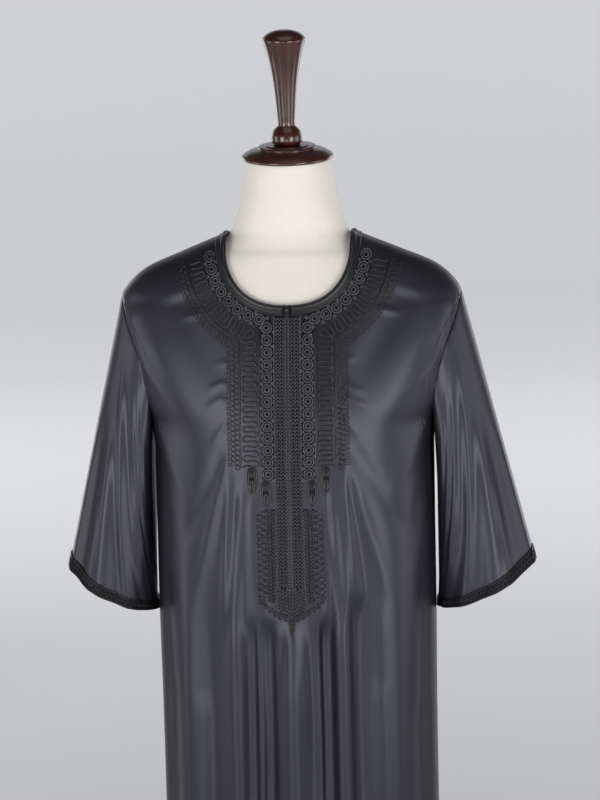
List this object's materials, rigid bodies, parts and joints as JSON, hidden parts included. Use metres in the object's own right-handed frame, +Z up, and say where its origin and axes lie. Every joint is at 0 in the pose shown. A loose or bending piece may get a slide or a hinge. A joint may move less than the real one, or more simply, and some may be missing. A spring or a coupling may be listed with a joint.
{
  "type": "thobe on a limbless dress form",
  "caption": "Long straight satin robe with short open sleeves and a braided, zipped front, worn on a limbless dress form on a pole and round base.",
  "frame": {"origin": "centre of the round base's underside, on the floor under the pole", "axes": "+Z up along the pole, -Y out of the garment's front, +X to the right as seen from the front"},
  "size_m": [0.6226, 0.38, 1.7376],
  "materials": {
    "satin": "charcoal satin with a soft broad sheen",
    "braid": "black soutache braid and machine embroidery thread, slightly glossy",
    "zip_metal": "dark gunmetal",
    "form_jersey": "stretched cream jersey, matte",
    "varnished_wood": "turned wood, dark red-brown gloss varnish",
    "pole_metal": "brushed steel tube"
  },
  "bodies": {
    "garment_and_form": {"front_panel": "satin", "back_panel": "satin", "sleeve_left": "satin", "sleeve_right": "satin", "cuff_braid_left": "braid", "cuff_braid_right": "braid", "neck_binding": "braid", "yoke_left": "braid", "yoke_right": "braid", "placket_left": "braid", "placket_right": "braid", "serpentine_left": "braid", "serpentine_right": "braid", "rosettes_left": "braid", "rosettes_right": "braid", "tongue": "braid", "zip_chain": "zip_metal", "zip_slider": "zip_metal", "form_body": "form_jersey", "form_neck_cap": "varnished_wood", "form_finial": "varnished_wood", "form_pole": "pole_metal", "form_base": "varnished_wood"},
    "pull_tab": {"zip_pull_tab": "zip_metal"}
  },
  "joints": [
    {"name": "pull_tab_hinge", "type": "hinge", "parent": "garment_and_form", "child": "pull_tab", "pos_m": [0, -0.0968, 1.38662], "axis": [-1, 0, 0], "range_deg": [0, 150]}
  ]
}
